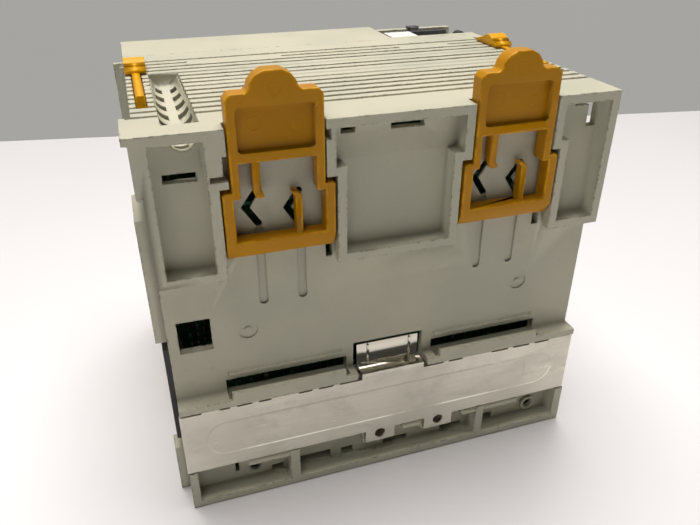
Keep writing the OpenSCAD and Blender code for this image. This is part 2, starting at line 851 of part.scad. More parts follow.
module dip_switch() {
    color([0.15, 0.25, 0.55]) placed() difference() {
        block([dip_x, dip_x + 11.6], [tray_y, tray_y + 5], [dip_z - 3.4, dip_z + 5.4]);
        for (i = [0 : 3])
            block([dip_x + 1.3 + i * dip_pitch, dip_x + 2.8 + i * dip_pitch], [tray_y + 3.2, tray_y + 6],
                [dip_z - 1.4, dip_z + 3.4]);
    }
}

module dip_lever(i) {
    color("white") placed()
        block([dip_x + 1.45 + i * dip_pitch, dip_x + 2.65 + i * dip_pitch], [tray_y + 3.4, tray_y + 6.2],
            [dip_z - 1.2, dip_z + 0.8]);
}

module dip_lever_1() {
    dip_lever(0);
}

module dip_lever_2() {
    dip_lever(1);
}

module dip_lever_3() {
    dip_lever(2);
}

module dip_lever_4() {
    dip_lever(3);
}

// ---- dials, indicators and connectors ----

dial_stem_r = 1.5;

module dial_housings() {
    color([0.2, 0.2, 0.22]) placed()
        for (d = dials)
            difference() {
                block([d[0] - 4.6, d[0] + 4.6], [front_board_y + board_t, panel_in - 3.4],
                    [d[1] - 4.6, d[1] + 4.6]);
                bar_y(d[0], d[1], dial_stem_r + 0.05, [front_board_y + 4, panel_in]);
            }
}

module dial(d) {
    color([0.9, 0.9, 0.88]) placed() {
        bar_y(d[0], d[1], dial_stem_r, [front_board_y + 5, panel_in - 2]);
        difference() {
            bar_y(d[0], d[1], dial_r, [panel_in - 3.1, body_d - 0.5]);
            block([d[0] - 0.5, d[0] + 0.5], [body_d - 1.8, body_d], [d[1] - 2.6, d[1] + 2.6]);
            rear_outline([[d[0] - 1.3, d[1] + 2.2], [d[0] + 1.3, d[1] + 2.2], [d[0], d[1] + 3.3]],
                [body_d - 1.8, body_d]);
        }
    }
}

module unit_dial() {
    dial(dials[0]);
}

module node_dial() {
    dial(dials[1]);
}

module indicator_window() {
    color([0.75, 0.8, 0.8, 0.6]) placed() {
        block([window_x[0] + 0.1, window_x[1] - 0.1], [panel_in - 0.2, body_d - 0.2],
            [window_z[0] + 0.1, window_z[1] - 0.1]);
        block([window_x[0] - 1, window_x[1] + 1], [panel_in - 1.2, panel_in],
            [window_z[0] - 1, window_z[1] + 1]);
    }
}

module indicator_leds() {
    color([0.3, 0.8, 0.4]) placed()
        for (i = [0 : 5], z = [7, 11]) {
            bar_y(8.5 + i * 3, z, 0.8, [front_board_y + board_t, panel_in - 2.4]);
            translate([8.5 + i * 3, panel_in - 2.4, z])
                sphere(r = 0.8, $fn = 24);
        }
}

module digit_display() {
    color(dark) placed()
        block([27.5, 36.5], [front_board_y + board_t, panel_in - 1.4],
            [window_z[0] + 0.6, window_z[1] - 0.6]);
}

module network_jack() {
    mid_x = (jack_x[0] + jack_x[1]) / 2;
    color(metal) placed() difference() {
        block(jack_x, [front_board_y + board_t, body_d - 0.3], jack_z);
        block([mid_x - 5.9, mid_x + 5.9], [body_d - 13, body_d], [jack_z[0] + 2, jack_z[0] + 8.6]);
        block([mid_x - 3, mid_x + 3], [body_d - 13, body_d], [jack_z[0] + 8, jack_z[0] + 11]);
    }
}

usb_x = [73.8, 81.8];
usb_z = [76, 88];
serial_x = [84.2, 94];
serial_z = [58, 83];

module usb_port() {
    color([0.92, 0.92, 0.9]) placed() difference() {
        union() {
            block(usb_x, [joint_y + 1, bay_y + 9], usb_z);
            block(usb_x, [bay_y, bay_y + 9], [usb_z[1] - 1, usb_z[1] + 1.6]);
        }
        block([usb_x[0] + 1.5, usb_x[1] - 1.5], [bay_y + 1, bay_y + 10], [usb_z[0] + 1.5, usb_z[1] - 1.5]);
    }
}

module serial_port() {
    color(steel) placed() {
        difference() {
            union() {
                block(serial_x, [joint_y + 1, bay_y], serial_z);
                block([serial_x[0] - 0.6, serial_x[1] + 0.6], [bay_y, bay_y + 1.2],
                    [serial_z[0] - 3, serial_z[1] + 3]);
                block([serial_x[0] + 0.8, serial_x[1] - 0.8], [bay_y + 1, bay_y + 6.4],
                    [serial_z[0] + 3.4, serial_z[1] - 3.4]);
            }
            block([serial_x[0] + 1.4, serial_x[1] - 1.4], [bay_y + 2, bay_y + 8],
                [serial_z[0] + 4, serial_z[1] - 4]);
        }
    }
}

module serial_screwlocks() {
    color(dark) placed()
        for (z = [serial_z[0] - 0.4, serial_z[1] + 0.4])
            bar_y((serial_x[0] + serial_x[1]) / 2, z, 2.2, [bay_y + 1.2, bay_y + 6.2]);
}

module cable_post() {
    color(dark) placed() {
        bar_y(96.2, 88, 1.1, [bay_y, bay_y + 4]);
        bar_y(96.2, 88, 1.7, [bay_y + 3.5, bay_y + 6]);
    }
}

rear_case();
front_cover();
din_latch_left();
din_latch_right();
slider_upper_left();
slider_upper_right();
slider_lower_left();
slider_lower_right();
ground_plate();
side_gasket();
bus_connector_left();
bus_connector_right();
bus_board();
cpu_board();
network_board();
front_board();
board_connectors();
processor();
heat_sink();
memory_chips();
capacitors();
pulse_transformer();
board_screws();
front_door();
front_door_pin();
port_door();
port_door_pin();
door_catch();
battery_holder();
battery();
card_slot();
memory_card();
eject_button();
dip_switch();
dip_lever_1();
dip_lever_2();
dip_lever_3();
dip_lever_4();
dial_housings();
unit_dial();
node_dial();
indicator_window();
indicator_leds();
digit_display();
network_jack();
usb_port();
serial_port();
serial_screwlocks();
cable_post();
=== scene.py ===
import json
import math

import bmesh
import bpy
from mathutils import Matrix, Vector


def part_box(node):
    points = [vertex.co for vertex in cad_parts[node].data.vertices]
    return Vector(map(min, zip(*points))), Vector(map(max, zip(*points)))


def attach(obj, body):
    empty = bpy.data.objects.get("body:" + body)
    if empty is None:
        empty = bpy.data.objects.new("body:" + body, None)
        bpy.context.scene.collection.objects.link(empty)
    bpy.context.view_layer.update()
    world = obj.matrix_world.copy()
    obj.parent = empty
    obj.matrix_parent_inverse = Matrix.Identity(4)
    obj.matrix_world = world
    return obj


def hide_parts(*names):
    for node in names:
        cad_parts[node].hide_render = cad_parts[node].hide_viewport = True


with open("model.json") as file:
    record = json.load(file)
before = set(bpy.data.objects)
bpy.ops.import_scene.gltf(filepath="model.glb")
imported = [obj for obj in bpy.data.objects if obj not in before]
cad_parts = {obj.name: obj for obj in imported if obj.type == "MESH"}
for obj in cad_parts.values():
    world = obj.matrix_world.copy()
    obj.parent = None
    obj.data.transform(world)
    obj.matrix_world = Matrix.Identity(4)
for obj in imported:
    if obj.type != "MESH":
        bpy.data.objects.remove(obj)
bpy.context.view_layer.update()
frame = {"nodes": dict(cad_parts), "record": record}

bl_info = {
    "name": "Controller module for a 35 mm rail",
    "version": (1, 0, 0),
    "blender": (4, 5, 0),
    "location": "3D View > Sidebar > Controller",
    "description": "Builds the looks of a rail-mounted controller module around its solid model",
    "category": "Object",
}

MM = 0.001
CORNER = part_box("rear_case")[0] + Vector((2.3 * MM, 0, 0))
LATCH_PITCH = (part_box("din_latch_right")[0].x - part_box("din_latch_left")[0].x) / MM

# Depths that the looks even out: corners at the first depth move to the second
SEAT_PAD = (3.95, 4)
FIELD_RIM = (0, 0.2)

# The metal plate: the pressed field's middle, half its straight length, its end radius and half
# the width of its step, the heights between which the painted highlight on its lower edge sets in, and those
# of the fold
FIELD_MIDDLE = (48.9, 0, 19.2)
FIELD_HALF = 39.4
FIELD_RADIUS = 4.5
FIELD_SOFT = 0.35
HIGHLIGHT_Z = (19.5, 18.5)
FOLD_Z = (28.0, 28.3)

# Round moulding marks on a latch: x, z and radius; one on the head and two in the pocket
LATCH_MARKS = ((24.5, 96.0, 1.15), (28.4, 88.9, 1.25), (20.7, 89.9, 1.25))
MARK_LINE = 0.16

# Contacts and chips: the jack's roof is measured from the foot of its box, the strips from the
# tongue's middle and the chips' places, in x and z, from the first chip; the taper is a share
JACK_ROOF = 8.6
SPRING_COUNT = 8
SPRING_PITCH = 1.02
SPRING_WIRE = 0.35
PIN_PITCH = 2.77
PIN_ROWS = 2.84
PIN_WIDTH = 0.6
PIN_TAPER = 0.45
USB_STRIPS = ((-2.6, -1.6), (-0.8, 0.2), (0.8, 1.8), (2.4, 3.1))
CHIP_CAPS = (5.4, 6.6)
CHIP_PLACES = ((0, 2.2), (0, 4.6), (3.1, 0.6), (3.1, 3.4), (3.1, 6.3), (6.0, 1.4), (6.0, 5.2), (0, 7.2))

# The stage in metres, its turn in degrees, and the camera's place in the module's millimetres
TABLE_MIDDLE = (0.09, 0.217, -0.0002)
TABLE_SIZE = (3.2, 1.6, 1)
TABLE_TURN = -10.2
WALL_MIDDLE = (0.5, 1.5, 0)
WALL_SIZE = (8, 4, 1)
CEILING_LAMP = (0.03, 0.26, 1.30)
SIDE_LAMP = (-0.30, -0.50, 1.00)
CAMERA_PLACE = (1.3, -112.4, 126.2)
CAMERA_AIM = (0.2722, 0.827, -0.4919)


def at(x, y, z):
    """A point of the module, in millimetres from the rear lower left corner of its case."""
    return CORNER + Vector((x, y, z)) * MM


def in_module(corners):
    """Points in the module's millimetres, the other way round from at()."""
    return [(corner - CORNER) / MM for corner in corners]


# ---- materials ----


class Signal:
    """One output of a shader node; arithmetic on it adds Math nodes."""

    def __init__(self, finish, socket):
        self.finish = finish
        self.socket = socket

    def math(self, operation, *values):
        inputs = dict(enumerate(values))
        return self.finish.node("ShaderNodeMath", {"operation": operation}, inputs)

    def __add__(self, other):
        return self.math("ADD", self, other)

    __radd__ = __add__

    def __sub__(self, other):
        return self.math("SUBTRACT", self, other)

    def __rsub__(self, other):
        return self.math("SUBTRACT", other, self)

    def __mul__(self, other):
        return self.math("MULTIPLY", self, other)

    __rmul__ = __mul__

    def size(self):
        return self.math("ABSOLUTE", self)

    def root(self):
        return self.math("SQRT", self)

    def at_least(self, value):
        return self.math("MAXIMUM", self, value)

    def clamped(self):
        return self.math("MINIMUM", self.at_least(0.0), 1.0)

    def ramp(self, low, high):
        """0 at low, 1 at high and a smooth step between them; low may be the higher one."""
        return self.finish.node(
            "ShaderNodeMapRange", {"interpolation_type": "SMOOTHSTEP"}, {0: self, 1: low, 2: high}
        )


class Finish:
    """A material whose colour, roughness and relief come from nodes."""

    def __init__(self, name, **constants):
        self.material = bpy.data.materials.new(name)
        self.material.use_nodes = True
        self.tree = self.material.node_tree
        self.shader = self.tree.nodes["Principled BSDF"]
        for key, value in constants.items():
            self.shader.inputs[key.replace("_", " ")].default_value = value
        self.place = self.node("ShaderNodeTexCoord", output="Object")

    def node(self, kind, settings=None, inputs=None, output=0):
        made = self.tree.nodes.new(kind)
        for key, value in (settings or {}).items():
            setattr(made, key, value)
        for key, value in (inputs or {}).items():
            self.feed(made.inputs[key], value)
        return Signal(self, made.outputs[output])

    def feed(self, socket, value):
        if isinstance(value, Signal):
            self.tree.links.new(value.socket, socket)
        else:
            socket.default_value = value

    def set(self, **inputs):
        for key, value in inputs.items():
            self.feed(self.shader.inputs[key.replace("_", " ")], value)

    def stretched(self, x, y, z):
        return self.node("ShaderNodeMapping", None, {"Vector": self.place, "Scale": (x, y, z)})

    def noise(self, scale, detail=2.0, place=None, roughness=0.5):
        inputs = {"Vector": place or self.place, "Scale": scale, "Detail": detail}
        inputs["Roughness"] = roughness
        return self.node("ShaderNodeTexNoise", None, inputs)

    def mix(self, first, second, factor):
        settings = {"data_type": "RGBA", "blend_type": "MIX"}
        return self.node("ShaderNodeMix", settings, {0: factor, 6: first, 7: second}, output=2)

    def edges(self, radius):
        """About 1 along corners and 0 on flat faces."""
        rounded = self.node("ShaderNodeBevel", {"samples": 4}, {"Radius": radius})
        true = self.node("ShaderNodeNewGeometry", output="Normal")
        settings = {"operation": "DOT_PRODUCT"}
        agree = self.node("ShaderNodeVectorMath", settings, {0: rounded, 1: true}, output="Value")
        return ((1 - agree) * 7).clamped()

    def hollows(self, reach):
        """About 1 deep in corners and grooves and 0 on open faces."""
        open_sky = self.node("ShaderNodeAmbientOcclusion", {"samples": 4}, {"Distance": reach}, output="AO")
        return 1 - open_sky

    def ring(self, centre, radius, width):
        """1 on a round line about a point of the rear face, 0 away from it."""
        flat = self.node("ShaderNodeVectorMath", {"operation": "MULTIPLY"}, {0: self.place, 1: (1, 0, 1)})
        spot = (centre.x, 0, centre.z)
        far = self.node("ShaderNodeVectorMath", {"operation": "DISTANCE"}, {0: flat, 1: spot}, "Value")
        return (far - radius).size().ramp(width, 0.3 * width)

    def axis(self, name):
        return self.node("ShaderNodeSeparateXYZ", None, {0: self.place}, name)

    def field(self, centre, half, radius, width):
        """0 inside a long round-ended field of the rear face and 1 outside it."""
        along = ((self.axis("X") - centre.x).size() - half).at_least(0.0)
        up = self.axis("Z") - centre.z
        return (along * along + up * up).root().ramp(radius - width, radius + width)

    def relief(self, height, depth, strength=1.0, normal=None):
        inputs = {"Height": height, "Distance": depth, "Strength": strength}
        if normal:
            inputs["Normal"] = normal
        return self.node("ShaderNodeBump", None, inputs)


def shade(colour, factor):
    """A colour made lighter or darker by a factor."""
    return (*(min(1.0, channel * factor) for channel in colour[:3]), 1.0)


def toward(colour, other, amount):
    """A colour part of the way to another."""
    pairs = zip(colour[:3], other[:3])
    return (*(a + (b - a) * amount for a, b in pairs), 1.0)


# Dark colour of the scuffs on corners and of the painted shade, mixed with dirt, in hollows
GRIME_AND_SHADE = (0.060, 0.050, 0.036, 1.0)
DUST = (0.62, 0.58, 0.50, 1.0)


def moulded_plastic(
    name, colour, looks, gloss=0.42, grime_and_shade=1.0, wear_and_highlight=1.0, warmth=None, worn_and_highlit_colour=None, shine=0.5, marks=()
):
    """Moulded plastic: fine spark texture, faint mottling, pale abraded corners that on the latches and
    sliders are also a painted highlight, dark scuffs, and painted shade mixed with dirt in corners and
    grooves.
    marks are the centre, radius and line width of round moulding marks."""
    # The lightened colour of abraded corners; on the latches and sliders it is a bright yellow that paints
    # highlights along the rims
    worn_and_highlit_colour = worn_and_highlit_colour or toward(shade(colour, 1.25), DUST, 0.25)
    finish = Finish(name, IOR=1.48, Specular_IOR_Level=shine)
    cloud = finish.noise(38, 3).ramp(0.32, 0.68)
    speckle = finish.noise(1500, 2)
    spark = finish.noise(5200, 2)
    corner = finish.edges(0.6 * MM).ramp(0.04, 0.6)
    hollow = finish.hollows(1.8 * MM)
    crumbs = finish.noise(950, 3, roughness=0.7)
    patchy = finish.noise(260, 4, roughness=0.65)
    scratch = finish.noise(420, 3, finish.stretched(1, 1, 9)).ramp(0.66, 0.74)
    tint = finish.mix(shade(colour, 0.93), shade(warmth or colour, 1.05), cloud)
    tint = finish.mix(tint, shade(colour, 0.80), speckle.ramp(0.60, 0.78) * 0.35)
    # Abrasion on corners, and on the latches and sliders also a painted highlight along the rims
    rubbed_and_highlit = corner * patchy.ramp(0.42, 0.60) * (0.5 * wear_and_highlight * looks.wear_and_highlight)
    tint = finish.mix(tint, worn_and_highlit_colour, rubbed_and_highlit)
    scuffed = corner * crumbs.ramp(0.48, 0.58) * patchy.ramp(0.60, 0.45) * (0.9 * grime_and_shade * looks.grime_and_shade)
    tint = finish.mix(tint, GRIME_AND_SHADE, scuffed)
    # Painted shade: corners and grooves darken by an ambient-occlusion mask, mixed with dirt that collects
    # there
    hollow_shade_and_grime = hollow.ramp(0.30, 0.88) * (0.35 + 0.65 * patchy) * (0.75 * grime_and_shade * looks.grime_and_shade)
    tint = finish.mix(tint, toward(GRIME_AND_SHADE, colour, 0.35), hollow_shade_and_grime)
    rough = gloss + 0.10 * cloud + 0.10 * hollow_shade_and_grime + 0.12 * scratch - 0.06 * rubbed_and_highlit
    surface = finish.relief(spark, 0.02 * MM, 0.5)
    if marks:
        lines = sum((finish.ring(*mark) for mark in marks[1:]), finish.ring(*marks[0]))
        surface = finish.relief(lines, 0.08 * MM, 0.6, surface)
    finish.set(
        Base_Color=tint,
        Roughness=rough.clamped(),
        Normal=finish.relief(scratch, 0.015 * MM, 0.5, surface),
    )
    return finish.material


def sheet_metal(name, colour, looks):
    """Rolled sheet metal with fine lengthways lines, dull patches, scattered scratches and, on the
    plate, a pressed field whose lower edge is painted bright as a highlight."""
    finish = Finish(name, Metallic=1.0)
    rolled = finish.noise(900, 3, finish.stretched(0.06, 1, 1))
    blotch = finish.noise(70, 4).ramp(0.35, 0.7)
    nick = finish.noise(330, 4, finish.stretched(0.35, 1, 1), roughness=0.7).ramp(0.63, 0.70)
    cross = finish.noise(500, 3, finish.stretched(1, 1, 0.12), roughness=0.6).ramp(0.66, 0.72)
    corner = finish.edges(0.3 * MM)
    cloudy = finish.noise(160, 5, finish.stretched(0.5, 1, 1), roughness=0.75)
    folded = finish.axis("Z").ramp(FOLD_Z[0] * MM, FOLD_Z[1] * MM)
    pressed = finish.field(at(*FIELD_MIDDLE), FIELD_HALF * MM, FIELD_RADIUS * MM, FIELD_SOFT * MM)
    tint = finish.mix(shade(colour, 0.86), shade(colour, 1.08), rolled)
    tint = finish.mix(tint, shade(colour, 0.70), cloudy.ramp(0.50, 0.66) * (0.45 * looks.grime_and_shade))
    tint = finish.mix(tint, shade(colour, 0.80), blotch * (0.55 * looks.grime_and_shade))
    tint = finish.mix(tint, shade(colour, 1.22), (nick + corner).clamped() * 0.6)
    # Painted highlight: only the lower edge of the pressed field is brightened, as where it faces the light
    rubbed_and_highlit = pressed * (1 - pressed) * 4 * finish.axis("Z").ramp(HIGHLIGHT_Z[0] * MM, HIGHLIGHT_Z[1] * MM)
    tint = finish.mix(tint, shade(colour, 1.5), rubbed_and_highlit * blotch.ramp(0.9, 0.1))
    rough = 0.27 + 0.12 * blotch + 0.12 * rolled + 0.16 * cross + 0.14 * cloudy - 0.06 * corner
    lines = finish.relief(rolled, 0.008 * MM, 0.5, finish.relief(pressed, 0.10 * MM, 1.0))
    finish.set(
        Base_Color=tint,
        Roughness=(rough * (1 - 0.6 * folded)).clamped(),
        Normal=finish.relief(nick + cross + cloudy, 0.015 * MM, 0.7, lines),
    )
    return finish.material


def printed_board(name, colour):
    """Solder mask over tracks that run in square steps, with tinned pads."""
    finish = Finish(name, Coat_Weight=0.35)
    settings = {"feature": "F1", "distance": "CHEBYCHEV"}
    cells = finish.node("ShaderNodeTexVoronoi", settings, {"Vector": finish.place, "Scale": 420}, "Distance")
    lines = finish.node(
        "ShaderNodeTexBrick",
        {"offset": 0.37, "squash": 1.4, "squash_frequency": 3},
        {"Vector": finish.place, "Scale": 260, "Mortar Size": 0.06, "Row Height": 0.5},
        "Fac",
    )
    pad = cells.ramp(0.22, 0.16)
    patch = finish.noise(60, 3)
    mask = finish.mix(shade(colour, 0.75), shade(colour, 1.25), patch)
    tint = finish.mix(mask, shade(colour, 1.7), lines * 0.7)
    tint = finish.mix(tint, (0.72, 0.70, 0.62, 1), pad * patch.ramp(0.48, 0.56))
    finish.set(
        Base_Color=tint,
        Roughness=(0.30 + 0.25 * patch).clamped(),
        Metallic=pad * patch.ramp(0.48, 0.56) * 0.8,
        Normal=finish.relief(lines + pad, 0.03 * MM, 0.6),
    )
    return finish.material


def plated_metal(name, colour, gloss=0.25):
    """Small plated parts: slightly uneven colour and roughness, brighter on corners."""
    finish = Finish(name, Metallic=1.0)
    patch = finish.noise(520, 3)
    corner = finish.edges(0.15 * MM)
    tint = finish.mix(shade(colour, 0.85), shade(colour, 1.1), patch)
    tint = finish.mix(tint, shade(colour, 1.3), corner * 0.5)
    finish.set(
        Base_Color=tint,
        Roughness=(gloss + 0.2 * patch).clamped(),
        Normal=finish.relief(patch, 0.01 * MM, 0.5),
    )
    return finish.material


def clear_plastic(name, colour):
    """Smoky clear plastic that lets the lamps behind it show faintly."""
    finish = Finish(name, Transmission_Weight=0.75, IOR=1.49, Roughness=0.08)
    patch = finish.noise(240, 3)
    tint = finish.mix(shade(colour, 0.9), shade(colour, 1.1), patch)
    finish.set(Base_Color=tint, Normal=finish.relief(finish.noise(900, 2), 0.004 * MM, 0.4))
    return finish.material


def tinted_lens(name, colour):
    """Small moulded lamp lenses, milky in patches."""
    finish = Finish(name, Coat_Weight=0.6)
    patch = finish.noise(800, 2)
    tint = finish.mix(shade(colour, 0.8), toward(colour, (1, 1, 1), 0.3), patch)
    finish.set(Base_Color=tint, Roughness=(0.18 + 0.15 * patch).clamped())
    return finish.material


def table_top(name, colour):
    """The smooth pale table, with painted shade darkening it towards its far edge."""
    finish = Finish(name)
    patch = finish.noise(9, 3)
    # Painted shade: the table darkens towards its far edge
    far = finish.axis("Y").ramp(-0.35, 0.1) * 0.9
    tint = finish.mix(shade(colour, 0.985), shade(colour, 1.01), patch)
    finish.set(
        Base_Color=finish.mix(tint, shade(colour, 0.72), far),
        Roughness=(0.42 + 0.15 * patch).clamped(),
    )
    return finish.material


def wall_paint(name, colour):
    """A plain wall, as bright as its colour whatever the lamp does."""
    black = (0, 0, 0, 1)
    finish = Finish(name, Base_Color=black, Roughness=1.0, Specular_IOR_Level=0.0, Emission_Strength=1.0)
    patch = finish.noise(2, 2)
    finish.set(Emission_Color=finish.mix(shade(colour, 0.99), shade(colour, 1.01), patch))
    return finish.material


# ---- modelling ----


def select_nothing():
    """Goes to object mode with nothing selected."""
    if bpy.context.mode != "OBJECT":
        bpy.ops.object.mode_set(mode="OBJECT")
    bpy.ops.object.select_all(action="DESELECT")


def only(piece):
    """Makes one object the selected, active one."""
    select_nothing()
    piece.select_set(True)
    bpy.context.view_layer.objects.active = piece


def edit(piece):
    """Opens one object in edit mode with nothing selected."""
    only(piece)
    bpy.ops.object.mode_set(mode="EDIT")
    bpy.ops.mesh.select_all(action="DESELECT")


def mark_corners(piece, width, sharp):
    """Weights the sharp outer edges that have room round them to be rounded."""
    mesh = bmesh.new()
    mesh.from_mesh(piece.data)
    weight = mesh.edges.layers.float.new("bevel_weight_edge")
    room = 2.1 * width
    for edge in mesh.edges:
        beside = [other.calc_length() for corner in edge.verts for other in corner.link_edges]
        is_sharp = edge.is_manifold and edge.is_convex and edge.calc_face_angle() > math.radians(sharp)
        edge[weight] = 1.0 if is_sharp and min(beside) > room else 0.0
    mesh.to_mesh(piece.data)
    mesh.free()


def rounded(piece, width, segments=2, sharp=38):
    """Rounds the sharp edges and evens out the shading."""
    mark_corners(piece, width, sharp)
    only(piece)
    bevel = piece.modifiers.new("rounding", "BEVEL")
    bevel.width = width
    bevel.segments = segments
    bevel.limit_method = "WEIGHT"
    bevel.use_clamp_overlap = False
    bpy.ops.object.modifier_apply(modifier=bevel.name)
    bpy.ops.object.shade_smooth()
    even = piece.modifiers.new("even shading", "WEIGHTED_NORMAL")
    bpy.ops.object.modifier_apply(modifier=even.name)


def painted(piece, material):
    """Gives a piece one material all over."""
    piece.data.materials.clear()
    piece.data.materials.append(material)


def body_of(node):
    """The name of the body that a node belongs to."""
    bodies = frame["record"]["behaviour"]["bodies"]
    return next(body for body, nodes in bodies.items() if node in nodes)


def softened(node, material, width, segments=2, sharp=38, level=None):
    """Copies a CAD node, joins its triangles into faces, rounds its edges and stands it in.
    level is a depth and the one that it is evened out to."""
    source = frame["nodes"][node]
    piece = bpy.data.objects.new(node + "_looks", source.data.copy())
    bpy.context.scene.collection.objects.link(piece)
    edit(piece)
    bpy.ops.mesh.customdata_custom_splitnormals_clear()
    if level:
        bpy.ops.object.mode_set(mode="OBJECT")
        for corner in piece.data.vertices:
            if abs(corner.co.y - at(0, level[0], 0).y) < 0.01 * MM:
                corner.co.y = at(0, level[1], 0).y
        bpy.ops.object.mode_set(mode="EDIT")
    bpy.ops.mesh.select_all(action="SELECT")
    bpy.ops.mesh.remove_doubles(threshold=0.002 * MM)
    bpy.ops.mesh.dissolve_limited(angle_limit=math.radians(0.6))
    bpy.ops.object.mode_set(mode="OBJECT")
    if width:
        rounded(piece, width, segments, sharp)
    painted(piece, material)
    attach(piece, body_of(node))
    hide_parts(node)
    return piece


def softened_all(nodes, material, width):
    """Rounds the edges of several nodes that share a material."""
    for node in nodes:
        softened(node, material, width)


def bar(name, low, high):
    """A box between two corners of the module in millimetres, left open in edit mode."""
    select_nothing()
    bpy.ops.mesh.primitive_cube_add(size=1, location=(0, 0, 0))
    piece = bpy.context.object
    piece.name = name
    edit(piece)
    bpy.ops.mesh.select_all(action="SELECT")
    first, last = at(*low), at(*high)
    bpy.ops.transform.resize(value=last - first)
    bpy.ops.transform.translate(value=(first + last) / 2)
    bpy.ops.mesh.select_all(action="DESELECT")
    return piece


def pick(piece, wanted):
    """Selects the faces that a test of middle and normal accepts."""
    bpy.ops.mesh.select_all(action="DESELECT")
    mesh = bmesh.from_edit_mesh(piece.data)
    for face in mesh.faces:
        if wanted(face.calc_center_median(), face.normal):
            face.select_set(True)
    bmesh.update_edit_mesh(piece.data)


def extrude(x, y, z):
    """Pulls the selected faces out by a distance in millimetres."""
    bpy.ops.mesh.extrude_region_move(TRANSFORM_OT_translate={"value": (x * MM, y * MM, z * MM)})


def facing_front(centre, normal):
    """Accepts the faces that look to the front."""
    return normal.y > 0.9


def refinished(piece, material, shift):
    """Gives the selected faces one more finish and moves them along their normals in millimetres."""
    piece.data.materials.append(material)
    piece.active_material_index = len(piece.data.materials) - 1
    bpy.ops.object.material_slot_assign()
    bpy.ops.mesh.extrude_region_shrink_fatten(TRANSFORM_OT_shrink_fatten={"value": shift * MM})


def array_of(piece, shifts):
    """Copies a modelled thing by shifts in millimetres, each copy with its own mesh, and joins them all."""
    bpy.ops.object.mode_set(mode="OBJECT")
    copies = []
    for shift in shifts:
        copy = piece.copy()
        copy.data = piece.data.copy()
        copy.data.transform(Matrix.Translation(Vector(shift) * MM))
        bpy.context.scene.collection.objects.link(copy)
        copies.append(copy)
    only(piece)
    for copy in copies:
        copy.select_set(True)
    bpy.ops.object.join()


def standing(piece, node, materials, width):
    """Rounds a new piece, gives it its finishes and joins it to the body of a node."""
    for material in materials:
        piece.data.materials.append(material)
    rounded(piece, width, 2, 30)
    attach(piece, body_of(node))


def finished(nodes, material):
    """Gives CAD nodes a material and keeps their shape."""
    for node in nodes:
        cad = frame["nodes"][node]
        if not cad.data.materials:
            cad.data.materials.append(material)
        for slot in cad.material_slots:
            slot.material = material


# ---- settings ----


def colour_setting(name, description, default):
    """A colour property."""
    return bpy.props.FloatVectorProperty(
        name=name, description=description, default=default, size=4, min=0, max=1, subtype="COLOR"
    )


def length_setting(name, description, millimetres):
    """A length property, given in millimetres."""
    return bpy.props.FloatProperty(
        name=name, description=description, default=millimetres * MM, min=0, unit="LENGTH"
    )


def share_setting(name, description):
    """A factor from 0 to 2 that is 1 unless changed."""
    return bpy.props.FloatProperty(name=name, description=description, default=1, min=0, max=2)


def power_setting(name, description, watts):
    """A lamp's power property."""
    return bpy.props.FloatProperty(name=name, description=description, default=watts, min=0, unit="POWER")


class ControllerLooks(bpy.types.PropertyGroup):
    """Colours and ageing of the module, with the strength of its painted rim highlights and painted shade in
    hollows.
    """

    housing: colour_setting("Housing", "Colour of the moulded case", (0.485, 0.485, 0.375, 1))
    housing_warm: colour_setting("Housing, aged", "Colour the case yellows towards", (0.50, 0.48, 0.365, 1))
    latch: colour_setting("Latches", "Colour of the latches", (0.50, 0.225, 0.0, 1))
    # A bright yellow that paints highlights along the rims of the latches and sliders, as well as abrasion
    latch_worn_and_highlit: colour_setting("Latches, worn", "Colour of the latches' rubbed edges", (0.95, 0.50, 0.01, 1))
    slider: colour_setting(
        "Sliders", "Colour of the sliders, less aged than the latches", (0.78, 0.37, 0.0, 1)
    )
    metal: colour_setting("Sheet metal", "Colour of the bent metal plate", (0.70, 0.67, 0.575, 1))
    black: colour_setting("Black plastic", "Colour of connectors and holders", (0.020, 0.020, 0.022, 1))
    grey: colour_setting("Dark grey plastic", "Colour of the catch and card", (0.07, 0.07, 0.075, 1))
    board: colour_setting("Boards", "Colour of the solder mask", (0.03, 0.19, 0.10, 1))
    # Also sets how strong the painted highlight along the latches' rims is
    wear_and_highlight: share_setting("Wear", "How rubbed the corners are")
    # Also sets how strong the painted shade in corners and grooves is
    grime_and_shade: share_setting("Grime", "How dirty the corners are")


class ControllerSizes(bpy.types.PropertyGroup):
    """Small sizes that shape the edges."""

    case_edge: length_setting("Case edge", "Rounding of the case's edges", 0.16)
    latch_edge: length_setting("Latch edge", "Rounding of the latches' edges", 0.32)
    sheet_edge: length_setting("Sheet edge", "Rounding of the metal plate's edges", 0.1)
    small_edge: length_setting("Small edge", "Rounding of the small parts' edges", 0.12)
    slider_edge: length_setting("Slider edge", "Rounding of the sliders' edges", 0.22)


class ControllerStage(bpy.types.PropertyGroup):
    """The table, wall, lamps and camera."""

    table: colour_setting("Table", "Colour of the table", (0.78, 0.775, 0.79, 1))
    wall: colour_setting("Wall", "Colour of the wall", (0.381, 0.376, 0.356, 1))
    lamp: power_setting("Lamp", "Power of the ceiling lamp", 26)
    side_lamp: power_setting("Side lamp", "Power of the small lamp behind the camera", 1.5)
    fill: bpy.props.FloatProperty(
        name="Fill", description="Strength of the light from all round", default=0.06, min=0
    )
    lens: bpy.props.FloatProperty(
        name="Lens", description="Focal length", default=33.94, min=10, subtype="DISTANCE_CAMERA"
    )


def latch_marks():
    """The round moulding marks of both latches, for a finish's rings."""
    return [
        (at(x + shift, 0, z), radius * MM, MARK_LINE * MM)
        for shift in (0, LATCH_PITCH)
        for x, z, radius in LATCH_MARKS
    ]


FINISHES = {}


